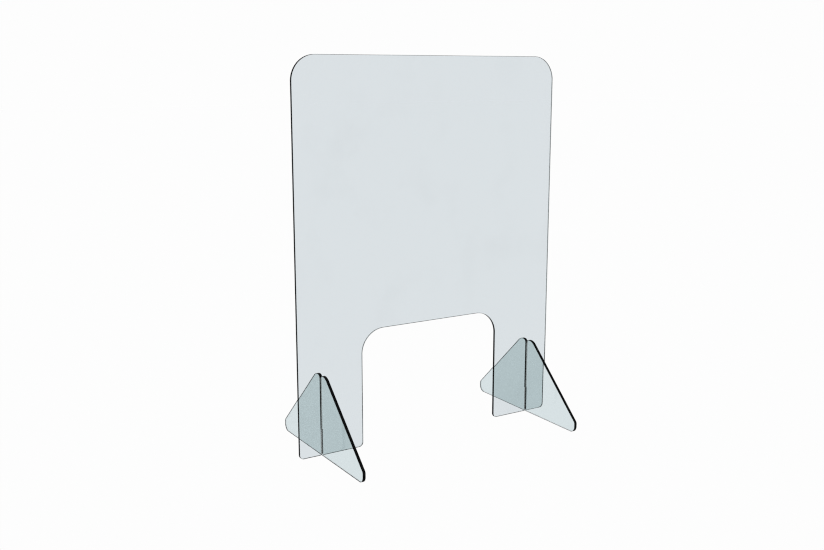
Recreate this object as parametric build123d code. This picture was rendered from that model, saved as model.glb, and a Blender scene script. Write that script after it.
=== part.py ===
from build123d import *
import os

# Free-standing screen for a desk or counter, cut from clear acrylic sheet: one upright panel
# with a pass-through opening at the bottom, held up by two identical feet that stand square to
# it. Panel and feet are slotted halfway, so they slide together and need no fastener.
#
# Millimetres. +X runs along the screen to its right-hand end, +Y from its front to its back and
# +Z up. The origin is on the desk, under the middle of the screen.

# ---- screen panel ----
panel_width = 598.0
panel_height = 762.0
panel_thickness = 5.0
top_corner_radius = 48.0
leg_corner_radius = 9.0

# ---- pass-through opening, open at the desk ----
opening_width = 320.0
opening_height = 237.5
opening_corner_radius = 48.0

# ---- feet ----
foot_thickness = 6.0
foot_length = 334.0
foot_spacing = 498.0  # between the middles of the two feet
foot_peak_height = 182.3  # where the two slopes would meet
foot_top_height = 162.2
foot_nose_height = 22.4  # where each slope would meet the upright end
foot_mouth_radius = 8.0  # slot into top
foot_shoulder_radius = 22.0  # top into slope
foot_nose_radius = 8.0  # slope into upright end
foot_toe_radius = 13.0  # upright end into base

# ---- halved joint between panel and foot ----
joint_height = 53.3  # the two slots meet here
joint_end_gap = 0.4  # keeps the slot ends apart, so that panel and foot both reach the desk
joint_side_gap = 0.4  # slot width beyond the thickness of the sheet that stands in it
slot_mouth_radius = 3.0  # lead-in of the panel's slots

edge_break = 0.3  # chamfer that takes the sharpness off every cut edge

panel_slot_width = foot_thickness + joint_side_gap
panel_slot_height = joint_height + joint_end_gap / 2
foot_slot_width = panel_thickness + joint_side_gap
foot_slot_floor = joint_height - joint_end_gap / 2


def round_corners(outline, radius, across, height):
    """Round the two corners of a symmetric outline that lie this far off its middle line."""
    nearness = 0.01
    chosen = ShapeList(
        corner
        for corner in outline.vertices()
        if abs(abs(corner.X) - across) < nearness and abs(corner.Y - height) < nearness
    )
    return fillet(chosen, radius)


def cut_sheet(outline, plane, thickness, across):
    """A sheet of this outline, centred on the plane, with its rims chamfered on both faces."""
    sheet = extrude(plane * outline, thickness / 2, both=True)
    rims = sheet.edges().group_by(across)
    return chamfer(rims[0] + rims[-1], edge_break)


def slot_from_edge(width, depth, middle):
    """A cutter that reaches this far up from the bottom edge of the panel."""
    return Pos(middle, 0) * Rectangle(width, 2 * depth)


def make_panel():
    foot_middle = foot_spacing / 2
    slot_inner_wall = foot_middle - panel_slot_width / 2
    slot_outer_wall = foot_middle + panel_slot_width / 2

    outline = Pos(0, panel_height / 2) * Rectangle(panel_width, panel_height)
    outline -= slot_from_edge(opening_width, opening_height, 0)
    outline -= slot_from_edge(panel_slot_width, panel_slot_height, -foot_middle)
    outline -= slot_from_edge(panel_slot_width, panel_slot_height, foot_middle)

    outline = round_corners(outline, top_corner_radius, panel_width / 2, panel_height)
    outline = round_corners(outline, opening_corner_radius, opening_width / 2, opening_height)
    outline = round_corners(outline, leg_corner_radius, panel_width / 2, 0)
    outline = round_corners(outline, leg_corner_radius, opening_width / 2, 0)
    outline = round_corners(outline, slot_mouth_radius, slot_inner_wall, 0)
    outline = round_corners(outline, slot_mouth_radius, slot_outer_wall, 0)
    return cut_sheet(outline, Plane.XZ, panel_thickness, Axis.Y)


def make_foot():
    """A foot standing at the middle of the screen: a blunt gable with a slot down from its top."""
    end = foot_length / 2
    slot_wall = foot_slot_width / 2
    slope = (foot_peak_height - foot_nose_height) / end
    shoulder = (foot_peak_height - foot_top_height) / slope

    gable = Polyline(
        (-end, 0),
        (end, 0),
        (end, foot_nose_height),
        (shoulder, foot_top_height),
        (-shoulder, foot_top_height),
        (-end, foot_nose_height),
        close=True,
    )
    slot_depth = foot_top_height - foot_slot_floor
    slot = Pos(0, foot_slot_floor + slot_depth / 2) * Rectangle(foot_slot_width, slot_depth)

    outline = make_face(gable) - slot
    outline = round_corners(outline, foot_mouth_radius, slot_wall, foot_top_height)
    outline = round_corners(outline, foot_shoulder_radius, shoulder, foot_top_height)
    outline = round_corners(outline, foot_nose_radius, end, foot_nose_height)
    outline = round_corners(outline, foot_toe_radius, end, 0)
    return cut_sheet(outline, Plane.YZ, foot_thickness, Axis.X)


foot = make_foot()
pieces = {
    "screen_panel": make_panel(),
    "left_foot": Pos(-foot_spacing / 2, 0, 0) * foot,
    "right_foot": Pos(foot_spacing / 2, 0, 0) * foot,
}

os.makedirs("parts", exist_ok=True)
for name, piece in pieces.items():
    export_step(piece, f"parts/{name}.step")
    size = piece.bounding_box().size
    print(f"{name}: {size.X:.1f} x {size.Y:.1f} x {size.Z:.1f} mm, {piece.volume / 1000:.1f} cm3")
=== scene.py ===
import math

import bmesh
import bpy
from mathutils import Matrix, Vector


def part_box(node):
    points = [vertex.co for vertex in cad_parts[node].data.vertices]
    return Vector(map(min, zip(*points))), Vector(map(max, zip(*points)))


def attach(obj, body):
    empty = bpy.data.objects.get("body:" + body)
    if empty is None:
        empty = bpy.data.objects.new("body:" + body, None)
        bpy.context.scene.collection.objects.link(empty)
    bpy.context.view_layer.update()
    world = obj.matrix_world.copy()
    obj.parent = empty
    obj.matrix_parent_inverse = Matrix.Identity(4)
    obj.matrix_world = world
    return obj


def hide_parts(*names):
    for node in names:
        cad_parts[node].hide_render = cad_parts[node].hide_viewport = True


# Looks for a clear acrylic desk screen that stands on two slotted feet. Metres, in the CAD's frame:
# +X along the screen, +Y from its front to its back, +Z up, desk at z = 0.

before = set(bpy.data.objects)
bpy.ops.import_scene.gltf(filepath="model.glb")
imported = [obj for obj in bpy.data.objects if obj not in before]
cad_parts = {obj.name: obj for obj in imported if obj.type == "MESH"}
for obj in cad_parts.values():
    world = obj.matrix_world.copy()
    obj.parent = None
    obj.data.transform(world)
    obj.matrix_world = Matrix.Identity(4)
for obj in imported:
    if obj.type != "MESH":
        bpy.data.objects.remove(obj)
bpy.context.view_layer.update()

# ---- the cut sheets: radii and heights that a node's box doesn't give ----
MM = 0.001
PANEL_TOP_RADIUS = 48.0 * MM
PANEL_LEG_RADIUS = 9.0 * MM
OPENING_WIDTH = 320.0 * MM
OPENING_HEIGHT = 237.5 * MM
OPENING_RADIUS = 48.0 * MM
SLOT_MOUTH_RADIUS = 3.0 * MM
SLOT_END_RADIUS = 0.2 * MM  # left by the width of the cut
FOOT_PEAK_HEIGHT = 182.3 * MM
FOOT_NOSE_HEIGHT = 22.4 * MM
FOOT_MOUTH_RADIUS = 8.0 * MM
FOOT_SHOULDER_RADIUS = 22.0 * MM
FOOT_NOSE_RADIUS = 8.0 * MM
FOOT_TOE_RADIUS = 13.0 * MM
JOINT_HEIGHT = 53.3 * MM
JOINT_END_GAP = 0.4 * MM
JOINT_SIDE_GAP = 0.4 * MM
ARRIS_RADIUS = 0.35 * MM  # small round along both rims of every cut edge
ARRIS_STEPS = 4
PANEL_SHADE_BAND = 0.25 * MM  # painted shade: a dark line on the face beside each rim, black and opaque from outside
FOOT_SHADE_BAND = 0.5 * MM  # wider painted shade, because the feet show the heavier dark edges
ARC_FLATNESS = 0.006 * MM  # how far a chord may stay inside its arc
FEWEST_ARC_STEPS = 3

# ---- acrylic ----
ACRYLIC_IOR = 1.49
SCREEN_TINT = (0.628, 0.693, 0.703)  # what one sheet lets through, at any slant once the painted brightening aslant is added
FOOT_TINT = (0.608, 0.696, 0.700)
GLOSS_LOSS_PAINTED_BACK = -1.4  # power of what the gloss lets by, for the painted brightening of the tint aslant; the sheet's own echoes make up the rest
MOST_PAINTED_BACK = 1.42  # most painted brightening, times the tint, which would lose its hue if a channel went past one
FOOT_OFFSET = 3.7  # metres through the pattern, so the feet differ

# Scales are per metre. A SPAN is where in a noise's values a mark sets in, and where it is full.
SMUDGE_SCALE = 7.0
SMUDGE_DETAIL = (4.0, 0.6)  # octaves, and how rough each one is
SMUDGE_SPAN = (0.52, 0.72)
SMUDGE_SHARE = 0.97  # of the tint, in the middle of a smudge
FACE_ROUGHNESS = (0.0, 0.05)  # clean, and in the middle of a smudge
WIPE_TURNS = (0.35, -0.6, 1.2)  # radians
WIPE_STRETCH = (14.0, 14.0, 1800.0)
HAIR_SPAN = (0.70, 0.78)
HAIR_ROUGHNESS = 0.09
HAIR_DEPTH = 0.002 * MM
SWELL_SCALE = 9.0
SWELL_DEPTH = 0.03 * MM

FLAT_SHARE = 0.08  # of the rim's round, from which the flat of the face begins
# Painted shade: the cut edges are painted near black and let no light through from outside, standing
# in for the darkness that clear acrylic's edges take on from light turned aside inside the sheet.
EDGE_PAINTED_SHADE = (0.002, 0.002, 0.002)
EDGE_SPECULAR = 0.06
EDGE_ROUGHNESS = (0.22, 0.42)
MARK_SCALE = 1800.0
MARK_DETAIL = (3.0, 0.65)
MARK_SPAN = (0.3, 0.7)
MARK_DEPTH = 0.04 * MM
STREAK_SPAN = (0.45, 0.75)
# the cutter's streaks, a touch lighter than the painted shade of the edge
EDGE_STREAK = (0.012, 0.014, 0.014)
PASS_SCALE = 60.0
PASS_SPAN = (0.35, 0.65)
PASS_ROUGHNESS = 0.12
NICK_SCALE = 420.0
NICK_SPAN = (0.70, 0.74)
NICK_ROUGHNESS = 0.7
EDGE_NICK = (0.16, 0.18, 0.18)

# ---- light ----
WHITE_SEEN = (0.983, 0.983, 0.983)  # the white studio as the camera sees it
WHITE_THROUGH = (1.125, 1.084, 1.106)  # the light that comes through the acrylic, overexposed
WHITE_MIRRORED = (0.05, 0.05, 0.05)  # the dim sides of the studio, which the gloss faces mirror
WHITE_IN_EDGE = (0.55, 0.55, 0.55)  # the same, turned aside once inside the nearest sheet
NEAREST_SHEET = 2.0  # faces that light has passed, in and out again
FLOOR_SIZE = 40.0
FLOOR_VEIL = 0.6  # how much of what lies below the desk the floor hides
MOST_BOUNCES = 32
SURE_BOUNCES = 16  # surfaces that light passes before any of it is dropped
PIXEL_FILTER = 1.2  # pixels; keeps the thin edge lines crisp

# ---- camera ----
CAMERA_PLACE = (-1.0650, -1.6504, 0.7286)
CAMERA_DOWN = 11.459  # degrees below the horizon
CAMERA_RIGHT = 31.73  # degrees from +Y towards +X
CAMERA_LENS = 43.53  # millimetres
CAMERA_SENSOR = 36.0  # millimetres
CAMERA_SIGHT = (0.01, 100.0)  # nearest and farthest


# ---------------------------------------------------------------- shapes
def rounded_outline(corners, inset):
    """Points round a closed outline and its outward directions, drawn this far inside it.

    corners are (across, up, radius), anticlockwise. Every inset gives the same number of points.
    """
    points, outwards = [], []
    for index, (across, up, radius) in enumerate(corners):
        here = Vector((across, up))
        before = Vector(corners[index - 1][:2])
        after = Vector(corners[(index + 1) % len(corners)][:2])
        arriving = (here - before).normalized()
        leaving = (after - here).normalized()
        out_before = Vector((arriving.y, -arriving.x))
        out_after = Vector((leaving.y, -leaving.x))
        turn = math.atan2(arriving.cross(leaving), arriving.dot(leaving))
        side = 1 if turn > 0 else -1
        here -= (out_before + out_after) * inset / (1 + out_before.dot(out_after))
        round_here = radius - side * inset
        reach = round_here * math.tan(abs(turn) / 2)
        centre = here - arriving * reach - out_before * side * round_here
        widest_step = 2 * math.acos(1 - ARC_FLATNESS / radius)
        steps = max(FEWEST_ARC_STEPS, math.ceil(abs(turn) / widest_step))
        start = math.atan2(out_before.y, out_before.x)
        for step in range(steps + 1):
            angle = start + turn * step / steps
            outward = Vector((math.cos(angle), math.sin(angle)))
            points.append(centre + outward * side * round_here)
            outwards.append(outward)
    return points, outwards


def sheet_mesh(name, corners, thickness, shade_band, place):
    """A cut sheet as one closed mesh with rounded rims and exact normals.

    place(across, up, through) turns sheet coordinates into the piece's own. The two clear faces
    take the first material; the cut edge, its rims and a band of the face beside them, which is
    painted dark as shade, take the second.
    """
    half = thickness / 2
    arcs = [math.pi / 2 * step / ARRIS_STEPS for step in range(ARRIS_STEPS + 1)]
    # The first and last rows close a band of the face that the edge material paints dark as shade.
    rows = [(ARRIS_RADIUS + shade_band, -half, -1, 0)]  # inset, through, and the normal's two parts
    for side, rim in ((-1, reversed(arcs)), (1, arcs)):
        for arc in rim:
            inset = ARRIS_RADIUS * (1 - math.cos(arc))
            through = side * (half - ARRIS_RADIUS * (1 - math.sin(arc)))
            rows.append((inset, through, side * math.sin(arc), math.cos(arc)))
    rows.append((ARRIS_RADIUS + shade_band, half, 1, 0))
    mesh = bmesh.new()
    loops, normals = [], []
    for inset, through, facing, sideways in rows:
        points, outwards = rounded_outline(corners, inset)
        loops.append([mesh.verts.new(place(*point, through)) for point in points])
        normals += [place(*(outward * sideways), facing) for outward in outwards]
    mesh.faces.new(reversed(loops[0]))
    mesh.faces.new(loops[-1])
    for lower, upper in zip(loops, loops[1:]):
        for index in range(len(lower)):
            after = (index + 1) % len(lower)
            quad = mesh.faces.new((lower[index], lower[after], upper[after], upper[index]))
            quad.material_index = 1
    bmesh.ops.recalc_face_normals(mesh, faces=mesh.faces)
    data = bpy.data.meshes.new(name)
    mesh.to_mesh(data)
    mesh.free()
    data.polygons.foreach_set("use_smooth", [True] * len(data.polygons))
    data.normals_split_custom_set_from_vertices([Vector(n).normalized() for n in normals])
    return data


def add_piece(name, data, place, body, node, materials):
    """Put a finished mesh in the scene in place of the CAD node that it stands for."""
    piece = bpy.data.objects.new(name, data)
    bpy.context.scene.collection.objects.link(piece)
    piece.location = place
    for material in materials:
        data.materials.append(material)
    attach(piece, body)
    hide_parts(node)


def mirrored(half):
    """The corners of the right half in order, then their mirror images back the other way."""
    return half + [(-across, up, radius) for across, up, radius in reversed(half)]


def panel_corners(width, height, foot_middle, foot_thickness):
    """Anticlockwise from the right side of the pass-through, by way of the slot, to the left."""
    slot_half = (foot_thickness + JOINT_SIDE_GAP) / 2
    slot_height = JOINT_HEIGHT + JOINT_END_GAP / 2
    slot_inner, slot_outer = foot_middle - slot_half, foot_middle + slot_half
    return mirrored(
        [
            (OPENING_WIDTH / 2, OPENING_HEIGHT, OPENING_RADIUS),
            (OPENING_WIDTH / 2, 0, PANEL_LEG_RADIUS),
            (slot_inner, 0, SLOT_MOUTH_RADIUS),
            (slot_inner, slot_height, SLOT_END_RADIUS),
            (slot_outer, slot_height, SLOT_END_RADIUS),
            (slot_outer, 0, SLOT_MOUTH_RADIUS),
            (width / 2, 0, PANEL_LEG_RADIUS),
            (width / 2, height, PANEL_TOP_RADIUS),
        ]
    )


def foot_corners(length, height, panel_thickness):
    """Anticlockwise from the right toe, over the shoulder and down into the slot."""
    end = length / 2
    slot_half = (panel_thickness + JOINT_SIDE_GAP) / 2
    slope = (FOOT_PEAK_HEIGHT - FOOT_NOSE_HEIGHT) / end
    return mirrored(
        [
            (end, 0, FOOT_TOE_RADIUS),
            (end, FOOT_NOSE_HEIGHT, FOOT_NOSE_RADIUS),
            ((FOOT_PEAK_HEIGHT - height) / slope, height, FOOT_SHOULDER_RADIUS),
            (slot_half, height, FOOT_MOUTH_RADIUS),
            (slot_half, JOINT_HEIGHT - JOINT_END_GAP / 2, SLOT_END_RADIUS),
        ]
    )


# ---------------------------------------------------------------- materials
class Nodes:
    """Short ways to add nodes to one material or world."""

    def __init__(self, owner):
        owner.use_nodes = True
        self.tree = owner.node_tree
        self.found = owner.node_tree.nodes

    def add(self, kind, inputs=(), **settings):
        """A node with these settings; inputs are (socket, number, colour or output) pairs."""
        node = self.found.new("ShaderNode" + kind)
        for setting, value in settings.items():
            setattr(node, setting, value)
        for socket, value in inputs:
            self.feed(node.inputs[socket], value)
        return node

    def feed(self, socket, value):
        if isinstance(value, bpy.types.NodeSocket):
            self.tree.links.new(value, socket)
        else:
            socket.default_value = value

    def math(self, operation, first, second=0.0):
        pairs = [(0, first), (1, second)]
        return self.add("Math", pairs, operation=operation).outputs["Value"]

    def ramp(self, value, from_low, from_high, to_low=0.0, to_high=1.0):
        pairs = [("Value", value), ("From Min", from_low), ("From Max", from_high)]
        pairs += [("To Min", to_low), ("To Max", to_high)]
        return self.add("MapRange", pairs).outputs["Result"]

    def blend(self, factor, first, second):
        """Colours first to second as factor goes from 0 to 1."""
        pairs = [(0, factor), (6, opaque(first)), (7, opaque(second))]  # A and B as colours
        return self.add("Mix", pairs, data_type="RGBA").outputs[2]

    def noise(self, vector, scale, detail=2.0, rough=0.5):
        pairs = [("Vector", vector), ("Scale", scale), ("Detail", detail), ("Roughness", rough)]
        return self.add("TexNoise", pairs).outputs[0]

    def stretched(self, vector, turn, scale):
        """The vector turned about the axes, then scaled, each as three numbers."""
        pairs = [("Vector", vector), ("Rotation", turn), ("Scale", scale)]
        return self.add("Mapping", pairs).outputs["Vector"]

    def bump(self, height, distance, under=None):
        pairs = [("Height", height), ("Distance", distance), ("Strength", 1.0)]
        if under is not None:
            pairs.append(("Normal", under))
        return self.add("Bump", pairs).outputs["Normal"]


def opaque(colour):
    """A plain colour gets its alpha; a node's output goes through as it is."""
    return (*colour, 1.0) if isinstance(colour, tuple) else colour


def own_place(nodes, offset):
    """Where a point is on the piece, in metres, moved so that no two pieces carry the same marks."""
    place = nodes.add("TexCoord").outputs["Object"]
    return nodes.add("Mapping", [("Vector", place), ("Location", offset)]).outputs["Vector"]


def painted_even_tint(nodes, tint):
    """The tint painted brighter the more aslant it is seen, making up for the light the gloss takes
    away, so a sheet seen aslant is no darker.
    """
    kept = nodes.math("SUBTRACT", 1.0, nodes.add("Fresnel", [("IOR", ACRYLIC_IOR)]).outputs[0])
    painted_gain = nodes.math("MINIMUM", nodes.math("POWER", kept, GLOSS_LOSS_PAINTED_BACK), MOST_PAINTED_BACK)
    pairs = [("Vector", tint), ("Scale", painted_gain)]
    return nodes.add("VectorMath", pairs, operation="SCALE").outputs["Vector"]


def clear_face(name, tint, square_axis, offset):
    """The gloss face of clear cast acrylic: a breath of smudge, and hairline wipe marks.

    The marks turn about the axis square to the sheet, which is (1, 0, 0) or (0, 1, 0).
    """
    material = bpy.data.materials.new(name)
    nodes = Nodes(material)
    shader = nodes.found["Principled BSDF"]
    place = own_place(nodes, offset)
    smudge = nodes.ramp(nodes.noise(place, SMUDGE_SCALE, *SMUDGE_DETAIL), *SMUDGE_SPAN)
    smudged = tuple(one * SMUDGE_SHARE for one in tint)
    # Base colour: the tint, darker in smudges, painted brighter aslant
    nodes.feed(shader.inputs["Base Color"], painted_even_tint(nodes, nodes.blend(smudge, tint, smudged)))
    hairs = 0.0
    for turn in WIPE_TURNS:
        turned = nodes.stretched(place, tuple(turn * one for one in square_axis), (1.0, 1.0, 1.0))
        lines = nodes.stretched(turned, (0.0, 0.0, 0.0), WIPE_STRETCH)
        hairs = nodes.math("MAXIMUM", hairs, nodes.ramp(nodes.noise(lines, 1.0, 1.0), *HAIR_SPAN))
    haze = nodes.ramp(smudge, 0.0, 1.0, *FACE_ROUGHNESS)
    scuffed = nodes.math("MULTIPLY", hairs, HAIR_ROUGHNESS)
    nodes.feed(shader.inputs["Roughness"], nodes.math("MAXIMUM", haze, scuffed))
    swell = nodes.bump(nodes.noise(place, SWELL_SCALE, 1.0), SWELL_DEPTH)
    furrow = nodes.bump(nodes.math("SUBTRACT", 0.0, hairs), HAIR_DEPTH, swell)
    nodes.feed(shader.inputs["Normal"], furrow)
    shader.inputs["IOR"].default_value = ACRYLIC_IOR
    shader.inputs["Transmission Weight"].default_value = 1.0
    return material


def cut_edge(name, tint, through_axis, half_thickness, offset):
    """The cut edge with its rims, in painted shade: near black and opaque from outside, with the
    cutter's fine marks straight across the thickness and a few pale nicks on the rims.

    From inside the sheet the wall is a mirror that lets out only painted black, and the flat of the
    rim is as clear as the face.
    """
    material = bpy.data.materials.new(name)
    nodes = Nodes(material)
    shader = nodes.found["Principled BSDF"]
    inside = nodes.add("NewGeometry").outputs["Backfacing"]
    axes = nodes.add("SeparateXYZ", [(0, nodes.add("TexCoord").outputs["Object"])]).outputs
    depth = nodes.math("ABSOLUTE", axes[through_axis])
    flat_start = half_thickness - ARRIS_RADIUS * FLAT_SHARE
    flat = nodes.math("GREATER_THAN", depth, flat_start)
    rim = nodes.ramp(depth, half_thickness - ARRIS_RADIUS, flat_start)
    clear_rim = nodes.math("MULTIPLY", inside, flat)
    inner_wall = nodes.math("SUBTRACT", inside, clear_rim)

    place = own_place(nodes, offset)
    along = [1.0, 1.0, 1.0]
    along["XYZ".index(through_axis)] = 0.0
    flattened = nodes.stretched(place, (0.0, 0.0, 0.0), tuple(along))
    marks = nodes.noise(flattened, MARK_SCALE, *MARK_DETAIL)
    passes = nodes.noise(flattened, PASS_SCALE, 1.0)
    nick = nodes.ramp(nodes.noise(place, NICK_SCALE), *NICK_SPAN)
    nick = nodes.math("MULTIPLY", rim, nick)

    streak = nodes.ramp(marks, *STREAK_SPAN)
    # Painted shade: near black from outside, with the cutter's streaks and pale nicks on it; plain
    # black from inside
    painted_shade_and_marks = nodes.blend(streak, EDGE_PAINTED_SHADE, EDGE_STREAK)
    painted_shade_and_marks = nodes.blend(nick, painted_shade_and_marks, EDGE_NICK)
    painted_shade_and_marks = nodes.blend(inner_wall, painted_shade_and_marks, EDGE_PAINTED_SHADE)
    # the clear flat of the rim gets the tint painted brighter aslant
    clear = painted_even_tint(nodes, tint)
    nodes.feed(shader.inputs["Base Color"], nodes.blend(clear_rim, painted_shade_and_marks, clear))
    satin = nodes.ramp(marks, *MARK_SPAN, *EDGE_ROUGHNESS)
    satin = nodes.math("ADD", satin, nodes.ramp(passes, *PASS_SPAN, 0.0, PASS_ROUGHNESS))
    satin = nodes.math("MAXIMUM", satin, nodes.math("MULTIPLY", nick, NICK_ROUGHNESS))
    smooth = nodes.math("SUBTRACT", 1.0, clear_rim)
    nodes.feed(shader.inputs["Roughness"], nodes.math("MULTIPLY", satin, smooth))
    # Opaque from outside, so the painted shade of the edge lets no light through
    nodes.feed(shader.inputs["Transmission Weight"], inside)
    height = nodes.math("SUBTRACT", marks, nick)
    nodes.feed(shader.inputs["Normal"], nodes.bump(height, MARK_DEPTH))
    shader.inputs["IOR"].default_value = ACRYLIC_IOR
    shader.inputs["Specular IOR Level"].default_value = EDGE_SPECULAR
    return material


def studio_glow(nodes, colour):
    """One white for the camera, one for light straight through the acrylic, two for its mirrors."""
    path = nodes.add("LightPath").outputs
    nearest = nodes.math("COMPARE", path["Transmission Depth"], NEAREST_SHEET)
    in_mirrors = nodes.blend(nearest, WHITE_MIRRORED, WHITE_IN_EDGE)
    unseen = nodes.blend(path["Glossy Depth"], WHITE_THROUGH, in_mirrors)
    nodes.feed(colour, nodes.blend(path["Is Camera Ray"], unseen, WHITE_SEEN))


def studio_floor(name):
    """The pale floor: it glows as evenly as the studio behind it, so no horizon shows."""
    material = bpy.data.materials.new(name)
    nodes = Nodes(material)
    nodes.found.remove(nodes.found["Principled BSDF"])
    glow = nodes.add("Emission", [("Strength", 1.0)])
    studio_glow(nodes, glow.inputs["Color"])
    clear = nodes.add("BsdfTransparent")
    pairs = [(0, FLOOR_VEIL), (1, clear.outputs["BSDF"]), (2, glow.outputs["Emission"])]
    mix = nodes.add("MixShader", pairs)
    nodes.feed(nodes.found["Material Output"].inputs["Surface"], mix.outputs["Shader"])
    return material


# ---------------------------------------------------------------- the object
panel_low, panel_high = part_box("screen_panel")
panel_size = panel_high - panel_low
foot_low, foot_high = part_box("right_foot")
foot_size = foot_high - foot_low
foot_middle = (foot_low.x + foot_high.x) / 2

panel_mesh = sheet_mesh(
    "screen_sheet",
    panel_corners(panel_size.x, panel_size.z, foot_middle, foot_size.x),
    panel_size.y,
    PANEL_SHADE_BAND,
    lambda across, up, through: (across, -through, up),
)
add_piece(
    "screen_sheet", panel_mesh, (0, 0, 0), "screen", "screen_panel",
    [
        clear_face("screen_face", SCREEN_TINT, (0, 1, 0), (0.0, 0.0, 0.0)),
        cut_edge("screen_edge", SCREEN_TINT, "Y", panel_size.y / 2, (0.0, 0.0, 0.0)),
    ],
)
for side, node in ((-1, "left_foot"), (1, "right_foot")):
    foot_mesh = sheet_mesh(
        node + "_sheet",
        foot_corners(foot_size.y, foot_size.z, panel_size.y),
        foot_size.x,
        FOOT_SHADE_BAND,
        lambda across, up, through: (through, across, up),
    )
    offset = (0.0, side * FOOT_OFFSET, 0.0)
    add_piece(
        node + "_sheet", foot_mesh, (side * foot_middle, 0, 0), node, node,
        [
            clear_face(node + "_face", FOOT_TINT, (1, 0, 0), offset),
            cut_edge(node + "_edge", FOOT_TINT, "X", foot_size.x / 2, offset),
        ],
    )


# ---------------------------------------------------------------- studio
scene = bpy.context.scene
scene.view_settings.view_transform = "Standard"
scene.cycles.max_bounces = MOST_BOUNCES
scene.cycles.transmission_bounces = MOST_BOUNCES
scene.cycles.glossy_bounces = MOST_BOUNCES
scene.cycles.transparent_max_bounces = MOST_BOUNCES
scene.cycles.min_light_bounces = SURE_BOUNCES
scene.cycles.min_transparent_bounces = SURE_BOUNCES
scene.cycles.filter_width = PIXEL_FILTER

world = bpy.data.worlds.new("studio")
scene.world = world
backdrop = Nodes(world)
studio_glow(backdrop, backdrop.found["Background"].inputs["Color"])

bpy.ops.mesh.primitive_plane_add(size=FLOOR_SIZE, location=(0, 0, 0))
floor = bpy.context.object
floor.name = "floor"
floor.data.materials.append(studio_floor("floor_white"))

camera_data = bpy.data.cameras.new("camera")
camera_data.sensor_width = CAMERA_SENSOR
camera_data.lens = CAMERA_LENS
camera_data.clip_start, camera_data.clip_end = CAMERA_SIGHT
camera = bpy.data.objects.new("camera", camera_data)
scene.collection.objects.link(camera)
camera.location = CAMERA_PLACE
camera.rotation_euler = (math.radians(90 - CAMERA_DOWN), 0, math.radians(-CAMERA_RIGHT))
scene.camera = camera
